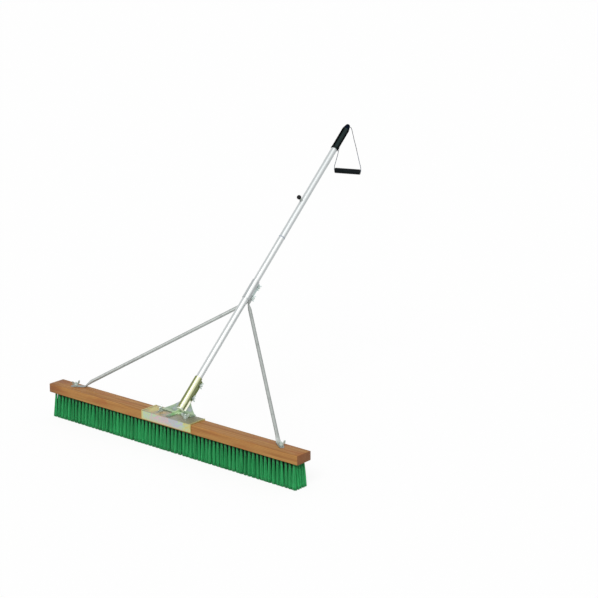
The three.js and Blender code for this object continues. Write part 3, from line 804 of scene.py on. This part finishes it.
def layRing(i, length, radius=pull["radius"]):
    # strands laid together
    ring = []
    for k in range(pull["sides"]):
        angle = 2 * math.pi * k / pull["sides"]
        lobe = math.cos(pull["strands"] * (angle - 2 * math.pi * length / pull["layPitch"]))
        out = radius * (1 - pull["layDepth"] * (0.5 - 0.5 * lobe))
        ring.append(polar(out, angle))
    return ring


def cordLine(side, places):
    start = hole + Vector((side * (pull["noseRadius"] + pull["gap"] + pull["radius"] / 2), 0, 0))
    low = barMiddle + barWay * (side * (pull["barLength"] / 2 + pull["turn"]))
    points = []
    for share, drop in places:
        point = start.lerp(low, share)
        point.z = hole.z - drop / 1000
        points.append(point)
    for share in pull["turnShares"]:
        angle = share * math.pi / 2
        inward = pull["turn"] * (1 - math.cos(angle))
        above = pull["turn"] * (1 - math.sin(angle))
        points.append(low - barWay * (side * inward) + up * above)
    return points, (low - start).cross(up).normalized()


def makeCords():
    for word, side in (("left", -1), ("right", 1)):
        points, across = cordLine(side, pull["both"] + pull[word])
        line = smoothLine(points, pull["smoothing"])
        piece = makeMesh(f"{word}PullCord", *swept(line, across, layRing), finishes["cord"])
        length = sum((b - a).length for a, b in zip(line, line[1:]))
        fit(piece, "pull_handle", "cord", f"{word}_pull_cord")
        print(piece.name, "is", round(length, 4), "m long")


def makeHiddenCord():
    # the stretch through the nose cap, and the one through the bar with its knot
    out = Vector((pull["noseRadius"], 0, 0))
    line = straight(hole - out, hole + out, pull["bridgeSteps"])
    piece = makeMesh("cordBridge", *swept(line, up, layRing), finishes["cord"])
    fit(piece, "pull_handle", "cord", "cord_bridge")
    half = pull["barLength"] / 2
    line = straight(barMiddle - barWay * half, barMiddle + barWay * half, pull["barSteps"])

    def knotted(i, length):
        near = max(0.0, 1 - abs(length - half) / pull["knotHalf"])
        swell = pull["knotRise"] * math.sin(near * math.pi / 2) ** 2
        return layRing(i, length, pull["radius"] + swell)

    piece = makeMesh("barCord", *swept(line, up, knotted), finishes["cord"])
    fit(piece, "pull_handle", "cord", "bar_cord")


makeCords()
makeHiddenCord()
print("cords made")


# Pull bar: round ends and a moulding seam along both sides
bar = {
    "ease": 0.0022,
    "chamfer": 0.0005,
    "sides": 72,
    "rows": 12,
    "seam": 0.00012,
    "seamWidth": 0.09,
}


def makeBar():
    half = pull["barLength"] / 2
    radius, bore, ease, chamfer = pull["barRadius"], pull["barBore"], bar["ease"], bar["chamfer"]
    rows = [(bore + chamfer, -half)]
    rows += arc(radius - ease, ease - half, ease, -90, 0)
    rows += [(radius, half * (2 * i / bar["rows"] - 1)) for i in range(1, bar["rows"])]
    rows += arc(radius - ease, half - ease, ease, 0, 90)
    rows += [(bore + chamfer, half), (bore, half - chamfer), (bore, chamfer - half)]

    def seam(out, angle, height):
        if out < radius - ease:
            return out
        near = max(0.0, 1 - abs(math.sin(angle)) / bar["seamWidth"])
        return out - bar["seam"] * (1 - near)

    yaw = Matrix.Rotation(math.radians(pull["barYaw"]), 4, "Z")
    matrix = Matrix.Translation(barMiddle) @ yaw @ Matrix.Rotation(math.pi / 2, 4, "Y")
    piece = makeMesh("pullBar", *revolved(rows, bar["sides"], matrix, seam, True), finishes["bar"])
    fit(piece, "pull_handle", "bar_plastic", "pull_bar")


makeBar()
print("pull bar made")


# Head block: eased long edges and ends; the tufts stand in a slice of the same wood
head = {
    "length": 1.2,
    "width": 0.07,
    "bottom": 0.094,
    "top": 0.127,
    "corner": 0.0025,
    "ease": 0.0012,
    "steps": 60,
}


def blockRing(inset):
    # the section, counter-clockwise seen from +X, with its corners rounded
    corner = head["corner"]
    half, low, top = head["width"] / 2 - corner, head["bottom"] + corner, head["top"] - corner
    ring = []
    for y, z, start in ((-half, low, 180), (half, low, 270), (half, top, 0), (-half, top, 90)):
        ring += arc(y, z, corner - inset, start, start + 90)
    return ring


def makeHead():
    half, ease = head["length"] / 2, head["ease"]
    stations = [(-half, ease), (-half + ease * 0.3, ease * 0.3), (-half + ease, 0)]
    steps = head["steps"]
    inner = half - ease
    stations += [(inner * (2 * i / steps - 1), 0) for i in range(1, steps)]
    stations += [(inner, 0), (half - ease * 0.3, ease * 0.3), (half, ease)]
    shape = joined([[(x, y, z) for y, z in blockRing(inset)] for x, inset in stations])
    piece = makeMesh("headBlock", *shape, finishes["wood"], 50)
    fit(piece, "brush_frame", "head_wood", "head_block")


makeHead()
print("head block made")


# Bristle tufts: bundles of filaments that fan out to flat-cut tips
tufts = {
    "columns": (16, 16, 17, 16),
    "rows": 5,
    "pitch": 0.018,
    "rowPitch": 0.012,
    "length": 0.094,
    "rootWidth": 0.0072,
    "rootDepth": 0.0075,
    "tipWidth": 0.016,
    "tipDepth": 0.0104,
    "splay": 0.005,
    "rowSplay": 0.001,
    "perTuft": 60,
    "radius": 0.00056,
    "levels": (0, 0.3, 0.6, 0.85, 1),
    "bow": 0.0007,
    "ragged": 0.0005,
    "tipSwell": 0.8,
    "squareness": 0.75,
    "fan": 0.08,
    "tilt": 0.0008,
    "loose": 0.0005,
    "tone": 0.2,
    "tuftTone": 0.1,
    "endTuftLight": 0.25,
    "sink": 0.001,
    "slab": {"halfX": 0.585, "halfY": 0.02975, "below": 0.0002, "deep": 0.0023},
    "seed": 11,
}


def filamentSpread(count):
    # even places in a disc
    k = np.arange(count) + 0.5
    out = np.sqrt(k / count)
    turn = k * math.pi * (3 - math.sqrt(5))
    return np.stack([out * np.cos(turn), out * np.sin(turn)], 1)


def makeBank(bank, chance):
    first = sum(tufts["columns"][:bank])
    columns = np.arange(first, first + tufts["columns"][bank])
    total = sum(tufts["columns"])
    along = 2 * columns / (total - 1) - 1
    across = 2 * np.arange(tufts["rows"]) / (tufts["rows"] - 1) - 1
    alongAll, acrossAll = [part.ravel() for part in np.meshgrid(along, across, indexing="ij")]
    count = tufts["perTuft"]
    disc = filamentSpread(count)
    shape, onePerTuft = (len(alongAll), count), (len(alongAll), 1)
    spin = chance.uniform(0, 2 * math.pi, onePerTuft)
    rootX = disc[None, :, 0] * np.cos(spin) - disc[None, :, 1] * np.sin(spin)
    rootY = disc[None, :, 0] * np.sin(spin) + disc[None, :, 1] * np.cos(spin)
    baseX = (alongAll * (total - 1) * tufts["pitch"] / 2)[:, None]
    baseY = (acrossAll * (tufts["rows"] - 1) * tufts["rowPitch"] / 2)[:, None]
    longest = np.maximum(np.maximum(np.abs(rootX), np.abs(rootY)), 1e-6)
    reach = np.sqrt(rootX**2 + rootY**2)
    squared = 1 - tufts["squareness"] * (1 - reach / longest)  # fills the corners of an oblong tip
    tipX, tipY = rootX * squared, rootY * squared
    fan = chance.normal(1, tufts["fan"], onePerTuft)
    tilt = chance.normal(0, tufts["tilt"], onePerTuft)
    loose = chance.normal(0, tufts["loose"], (*shape, 2))
    tipHalfX = tufts["tipWidth"] / 2 - tufts["radius"]
    tipHalfY = tufts["tipDepth"] / 2 - tufts["radius"]
    start = np.stack([
        baseX + rootX * (tufts["rootWidth"] / 2 - tufts["radius"]),
        baseY + rootY * (tufts["rootDepth"] / 2 - tufts["radius"]),
        np.full(shape, tufts["length"] + tufts["sink"]),
    ], 2)
    endX = baseX + (alongAll * tufts["splay"])[:, None] + tipX * tipHalfX * fan + tilt + loose[..., 0]
    endY = baseY + (acrossAll * tufts["rowSplay"])[:, None] + tipY * tipHalfY + loose[..., 1]
    endZ = tufts["ragged"] * chance.random(shape) ** 2
    end = np.stack([endX, endY, endZ], 2)
    bow = chance.normal(0, tufts["bow"], (*shape, 2))
    levels = np.array(tufts["levels"])
    line = start[:, :, None] + (end - start)[:, :, None] * levels[None, None, :, None]
    line[..., :2] += bow[:, :, None] * np.sin(levels * math.pi)[None, None, :, None]
    facing = chance.uniform(0, 2 * math.pi, shape)
    corners = []
    for side in range(3):
        angle = facing + side * 2 * math.pi / 3
        offset = np.stack([np.cos(angle), np.sin(angle), np.zeros(shape)], 2) * tufts["radius"]
        corners.append(line + offset[:, :, None] * (1 + tufts["tipSwell"] * levels[None, None, :, None]))
    places = np.stack(corners, 3).reshape(-1, 3)  # tuft, filament, level, side
    filaments = len(alongAll) * count
    step = len(levels) * 3
    starts = (np.arange(filaments) * step)[:, None, None]
    level = (np.arange(len(levels) - 1) * 3)[None, :, None]
    side = np.arange(3)[None, None, :]
    nextSide = (side + 1) % 3
    quads = np.stack([
        starts + level + side,
        starts + level + 3 + side,
        starts + level + 3 + nextSide,
        starts + level + nextSide,
    ], 3).reshape(-1, 4)
    ends = np.concatenate([
        starts[:, 0] + np.array([[0, 1, 2]]),
        starts[:, 0] + step - 3 + np.array([[0, 2, 1]]),
    ])
    tone = chance.normal(0.5, tufts["tone"], shape)
    tone = tone + chance.normal(0, tufts["tuftTone"], onePerTuft)
    # painted light: the tufts at both ends get a paler tone
    outermost = np.abs(alongAll) > 0.999
    tone = np.clip(tone + tufts["endTuftLight"] * outermost[:, None], 0, 1)
    # the inner tufts, which the finish darkens with painted shade
    enclosed = (np.abs(acrossAll) < 0.99) & ~outermost
    inner = np.repeat(enclosed.astype(float), count * step)
    return places, quads, ends, {"tone": np.repeat(tone.ravel(), step), "inner": inner}


def slabShape(bank):
    # the slice of the block's wood that holds one bank
    slab = tufts["slab"]
    low = sum(tufts["columns"][:bank]) * tufts["pitch"] - slab["halfX"]
    ends = (low, low + tufts["columns"][bank] * tufts["pitch"])
    heights = (tufts["length"] - slab["below"], tufts["length"] + slab["deep"])
    places = [(x, y, z) for x in ends for y in (-slab["halfY"], slab["halfY"]) for z in heights]
    faces = [(0, 1, 3, 2), (4, 6, 7, 5), (0, 4, 5, 1), (2, 3, 7, 6), (0, 2, 6, 4), (1, 5, 7, 3)]
    return places, faces


def makeTufts():
    chance = np.random.default_rng(tufts["seed"])
    for bank in range(len(tufts["columns"])):
        places, quads, ends, marks = makeBank(bank, chance)
        slabPlaces, slabFaces = slabShape(bank)
        base = len(places)
        faces = quads.tolist() + ends.tolist()
        filamentFaces = len(faces)
        faces += [tuple(base + i for i in face) for face in slabFaces]
        name = f"bristleBank{bank + 1}"
        mesh = bpy.data.meshes.new(name)
        mesh.from_pydata(places.tolist() + slabPlaces, [], faces)
        mesh.materials.append(finishes["bristle"])
        mesh.materials.append(finishes["wood"])
        wooden = np.arange(len(faces)) >= filamentFaces
        mesh.polygons.foreach_set("material_index", wooden.astype(np.int32))
        mesh.polygons.foreach_set("use_smooth", ~wooden)
        for word, values in marks.items():
            mark = mesh.attributes.new(word, "FLOAT", "POINT")
            padded = np.append(values, np.zeros(len(slabPlaces)))
            mark.data.foreach_set("value", padded.astype(np.float32))
        fit(addObject(name, mesh), "brush_frame", "bristle", f"bristle_bank_{bank + 1}")


makeTufts()
print("tufts made")


# Bolts, with their threads cut where they show
bolts = {
    "upright": {
        "places": ("foot_left", "base_left", "base_right", "foot_right"),
        "radius": 0.004,
        "pitch": 0.00125,
        "thread": 0.02,
        "headRadius": 0.0092,
        # share of the head's radius, and height
        "head": ((0.62, 0.0001), (0.9, 0.0021), (1, 0.0039), (1, 0.0042)),
    },
    "cross": {
        "places": ("socket_lower", "socket_upper", "clamp_lower", "clamp_upper"),
        "radius": 0.003,
        "pitch": 0.001,
        "thread": 0.013,
        "headRadius": 0.0057,
        "head": ((0.8, 0), (0.86, 0.0004), (1, 0.0009), (1, 0.0039)),
    },
}
thread = {"sides": 24, "depth": 0.55, "root": (0.45, 0.55)}  # the last two are shares of the pitch


def threadRows(radius, pitch, start, stop):
    # plain shank up to start, then thread crests and roots, with an eased end
    root = radius - pitch * thread["depth"]
    rows = [(radius, start)]
    height = start
    while height + pitch < stop - pitch * 0.5:
        rows += [(root, height + pitch * share) for share in thread["root"]]
        height += pitch
        rows.append((radius, height))
    return rows + [(root, stop), (0, stop)]


def camelName(words):
    first, *others = words.split("_")
    return first + "".join(word.capitalize() for word in others)


def makeBolts():
    for kind, bolt in bolts.items():
        radius, headRadius = bolt["radius"], bolt["headRadius"]

        def hexagon(out, angle, height):
            # the head's flats; the thread stays round
            if kind == "upright" or out < headRadius * 0.9:
                return out
            fromFlat = (angle % (math.pi / 3)) - math.pi / 6
            return out * math.cos(math.pi / 6) / math.cos(fromFlat)

        for place in bolt["places"]:
            node = f"{place}_bolt"
            low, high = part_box(node)
            middle = (low + high) / 2
            if kind == "upright":
                matrix = Matrix.Translation((middle.x, middle.y, low.z))
                long = high.z - low.z
            else:
                matrix = Matrix.Translation((low.x, middle.y, middle.z))
                matrix = matrix @ Matrix.Rotation(math.pi / 2, 4, "Y")
                long = high.x - low.x
            rows = [(0, 0)] + [(headRadius * share, height) for share, height in bolt["head"]]
            rows.append((radius, bolt["head"][-1][1]))
            rows += threadRows(radius, bolt["pitch"], long - bolt["thread"], long)
            shape = revolved(rows, thread["sides"], matrix, hexagon)
            piece = makeMesh(camelName(node), *shape, finishes["zinc"], 30)
            fit(piece, "brush_frame", "zinc_steel", node)


makeBolts()
print("bolts made")


# Clamp knob: a ball on a threaded stud, on the upper side of the handle
knob = {
    "place": 0.947,
    "height": 0.031,
    "radius": 0.0085,
    "stud": 0.003,
    "studStart": 0.0105,
    "studPitch": 0.001,
    "studIn": 0.008,
    "socket": 0.0003,
    "socketTop": 0.0308,
    "lip": 0.0004,
    "sides": 40,
    "rows": 22,
}
knobPlace = Matrix.Translation((0, 0, knob["place"]))
knobFrame = handleFrame @ knobPlace @ Matrix.Rotation(math.pi / 2, 4, "X")


def makeKnob():
    bore = knob["stud"] + knob["socket"]
    rim = math.degrees(math.asin((bore + knob["lip"]) / knob["radius"])) - 90
    rows = [(0, knob["socketTop"]), (bore, knob["socketTop"])]
    ball = arc(0, knob["height"], knob["radius"], rim, 90, knob["rows"])
    rows += [(bore, ball[0][1] + knob["socket"]), *ball[:-1], (0, knob["height"] + knob["radius"])]
    piece = makeMesh("ballKnob", *revolved(rows, knob["sides"], knobFrame), finishes["ball"], 50)
    fit(piece, "clamp_knob", "knob_plastic", "ball_knob")
    start, pitch = knob["studStart"], knob["studPitch"]
    top = knob["height"] - knob["radius"] + knob["studIn"]
    rows = [(0, start)] + threadRows(knob["stud"], pitch, start + pitch, top)
    piece = makeMesh("knobStud", *revolved(rows, thread["sides"], knobFrame), finishes["zinc"], 30)
    fit(piece, "clamp_knob", "zinc_steel", "knob_stud")


makeKnob()
print("clamp knob made")


# Grip: a rubber sleeve with slanting ribs and a lip at its lower end
grip = {
    "start": 1.2011,
    "end": 1.2966,
    "bore": 0.0123,
    "radius": 0.0137,
    "lip": 0.0144,
    "lipLength": 0.006,
    "lipEase": 0.0012,
    "edges": (0.0004, 0.0003),
    "ribs": 14,
    "lead": 0.075,
    "ribDepth": 0.00045,
    "plain": 0.004,
    "sides": 126,
    "rows": 120,
}


def makeGrip():
    start, end, ease = grip["start"], grip["end"], grip["lipEase"]
    lipEnd = start + grip["lipLength"]
    rows = [(grip["bore"], start), (grip["radius"] - grip["edges"][0], start)]
    rows += arc(grip["lip"] - ease, start + ease, ease, -90, 0)
    rows += arc(grip["lip"] - ease, lipEnd - ease, ease, 0, 60)
    steps = grip["rows"]
    rows += [(grip["radius"], lipEnd + (end - lipEnd) * i / steps) for i in range(steps + 1)]
    rows += [(grip["radius"] - grip["edges"][1], end), (grip["bore"], end)]

    def ribbed(out, angle, height):
        if out != grip["radius"]:
            return out
        inside = min(height - lipEnd, end - height) / grip["plain"]
        share = max(0.0, min(1.0, inside))
        wave = 0.5 - 0.5 * math.cos(grip["ribs"] * (angle + 2 * math.pi * height / grip["lead"]))
        return out - grip["ribDepth"] * share * wave ** 2

    shape = revolved(rows, grip["sides"], handleFrame, ribbed, True)
    piece = makeMesh("rubberGrip", *shape, finishes["grip"], 60)
    fit(piece, "upper_handle", "grip_rubber", "grip")


makeGrip()
print("grip made")


# Flanges: the sleeve's sheet turned out onto the web on both sides
flange = {
    "starts": {"Left": 0.032, "Right": 0.0185},  # along the handle
    "end": 0.0635,
    "inner": 0.0122,
    "outer": 0.0222,
    "under": 0.0071,
    "thick": 0.0013,
    "taper": 1.1,
    "webTip": 0.015,
    "steps": 24,
}
sideways = Vector((1, 0, 0))


def makeFlanges():
    end = flange["end"]
    for side, (word, start) in zip((-1, 1), flange["starts"].items()):
        line = straight(handleStart + handleWay * start, handleStart + handleWay * end, flange["steps"])

        def section(i, length):
            # narrows towards the web's tip
            room = flange["webTip"] + flange["taper"] * (end - start - length)
            inner, outer = flange["inner"], min(flange["outer"], room)
            low, thick = flange["under"], flange["thick"]
            ease = thick / 2
            ring = [(inner, low), (inner, low - thick), (outer - ease, low - thick)]
            ring += [(outer - ease * 0.3, low - thick + ease * 0.3), (outer, low - ease), (outer, low)]
            return ring if side > 0 else [(-u, v) for u, v in reversed(ring)]

        piece = makeMesh(f"sleeveFlange{word}", *swept(line, sideways, section), finishes["bracket"])
        fit(piece, "brush_frame", "chromated_steel")


# The sheet that closes the sleeve's mouth below the tube, down to the web
mouth = {
    "radius": 0.0139,
    "start": 0.0176,
    "thick": 0.0017,
    "ease": 0.0004,
    "web": 0.0073,
    "sides": 32,
}


def makeMouthSheet():
    radius, ease, thick = mouth["radius"], mouth["ease"], mouth["thick"]
    rises, insets = (0, ease, thick - ease, thick), (ease, 0, 0, ease)
    line = [handleStart + handleWay * (mouth["start"] + rise) for rise in rises]
    dip = math.degrees(math.asin(mouth["web"] / radius))

    def section(i, length):
        return arc(0, 0, radius - insets[i], 180 - dip, 360 + dip, mouth["sides"])

    piece = makeMesh("sleeveMouthSheet", *swept(line, sideways, section), finishes["bracket"])
    fit(piece, "brush_frame", "chromated_steel")


# Weld beads along both sides of the gusset
weld = {
    "radius": 0.0016,
    "ripple": 0.0016,
    "rippleShare": 0.1,
    "taper": 6,
    "steps": 60,
    "sides": 10,
    "gusset": ((0.0019, -0.026, 0.1331), (0.0019, 0.012, 0.1331)),  # x, y, z
}


def bead(name, start, stop, across):
    steps = weld["steps"]

    def ring(i, length):
        fromEnd = weld["taper"] * min(i, steps - i) / steps
        wave = 1 + weld["rippleShare"] * math.sin(2 * math.pi * length / weld["ripple"])
        radius = weld["radius"] * math.sqrt(max(0.02, min(1.0, fromEnd))) * wave
        angles = [2 * math.pi * k / weld["sides"] for k in range(weld["sides"])]
        return [polar(radius, angle) for angle in angles]

    shape = swept(straight(start, stop, steps), across, ring)
    piece = makeMesh(name, *shape, finishes["bracket"], 80)
    fit(piece, "brush_frame", "chromated_steel")


def makeWelds():
    for side, word in ((-1, "Left"), (1, "Right")):
        ends = [Vector((side * x, y, z)) for x, y, z in weld["gusset"]]
        bead(f"gussetWeld{word}", *ends, up)


makeFlanges()
makeMouthSheet()
makeWelds()
print("flanges and welds made")


# CAD pieces that keep their shape get their finish and eased edges
easing = {
    "mergeWithin": 0.000002,
    "segments": 2,
    "easeFrom": 50,  # degrees
    "splitFrom": 35,
    "nut": 0.0003,
    "washer": 0.0002,
}


def dress(name, finish, ease=0.0):
    node = nodes[name]
    node.data.materials.clear()
    node.data.materials.append(finishes[finish])
    node.data.shade_smooth()
    merged = node.modifiers.new("merged", "WELD")
    merged.merge_threshold = easing["mergeWithin"]
    if ease:
        edges = node.modifiers.new("ease", "BEVEL")
        edges.width = ease
        edges.segments = easing["segments"]
        edges.limit_method = "ANGLE"
        edges.angle_limit = math.radians(easing["easeFrom"])
    corners = node.modifiers.new("corners", "EDGE_SPLIT")
    corners.split_angle = math.radians(easing["splitFrom"])
    node.modifiers.new("flatFaces", "WEIGHTED_NORMAL")


# finish, and how wide the eased edges are
dressed = {
    "base_plate": ("plate", 0.0007),
    "socket_bracket": ("bracket", 0.0),
    "stay_clamp": ("clamp", 0.0),
    "left_stay": ("stay", 0.0),
    "right_stay": ("stay", 0.0),
    "lower_tube": ("tube", 0.0004),
    "inner_tube": ("tube", 0.0004),
    "upper_tube": ("tube", 0.0),
    "joint_collar": ("collar", 0.0003),
    "knob_boss": ("stay", 0.0),
    "nose_cap": ("nose", 0.0),
}
for name, (finish, ease) in dressed.items():
    dress(name, finish, ease)
for name in nodes:
    if name.endswith("_wing_nut"):
        # the nuts across the socket and clamp get the painted light copy of the zinc
        across = name.startswith(("socket", "clamp"))
        dress(name, "crossNutPaintedLight" if across else "zinc", easing["nut"])
    elif name.endswith("_washer"):
        dress(name, "zinc", easing["washer"])
print("CAD pieces dressed")

# Floor and light
stage = {
    "floorSize": 60,
    "floorDrop": 0.0004,
    "floorColour": (0.97, 0.97, 0.97, 1),
    "shown": 0.86,
    "worldLight": 0.55,
    "sunTurn": 28,
    "sunRise": 45,
    "sunSpread": 30,
    "sunPower": 1.9,
    "sunAway": 5,
}


def shownShare(board):
    # 1 where the camera, a reflection or glass looks at it
    path = board.add("ShaderNodeLightPath").socket.node.outputs
    kinds = ("Is Camera Ray", "Is Glossy Ray", "Is Transmission Ray")
    direct, glossy, through = [Wire(board, path[kind]) for kind in kinds]
    return direct.larger(glossy).larger(through)


def makeFloor():
    board = Board("paleFloor")
    lit = board.add("ShaderNodeBsdfDiffuse", None, {"Color": stage["floorColour"]})
    white = board.add("ShaderNodeEmission", None, {"Color": (1, 1, 1, 1), "Strength": 1.0})
    shown = shownShare(board) * stage["shown"]
    mixed = board.add("ShaderNodeMixShader", None, {0: shown, 1: lit, 2: white})
    board.add("ShaderNodeOutputMaterial", None, {0: mixed})
    half, low = stage["floorSize"] / 2, -stage["floorDrop"]
    corners = [(-half, -half, low), (half, -half, low), (half, half, low), (-half, half, low)]
    floor = makeMesh("floor", corners, [(0, 1, 2, 3)], board.owner)


def makeWorld():
    board = Board("paleRoom", kind="worlds")
    bpy.context.scene.world = board.owner
    strength = shownShare(board) * (1 - stage["worldLight"]) + stage["worldLight"]
    back = board.add("ShaderNodeBackground", None, {"Color": (1, 1, 1, 1), "Strength": strength})
    board.add("ShaderNodeOutputWorld", None, {0: back})


def makeKey():
    # a broad soft light, nearer the viewer's left
    data = bpy.data.lights.new("keyLight", "SUN")
    data.angle = math.radians(stage["sunSpread"])
    data.energy = stage["sunPower"]
    lamp = addObject("keyLight", data)
    lamp.location = lookBack(lamp, stage["sunTurn"], stage["sunRise"]) * stage["sunAway"]


makeFloor()
makeWorld()
makeKey()
view = bpy.context.scene.view_settings
view.view_transform = "Standard"
print("stage made")
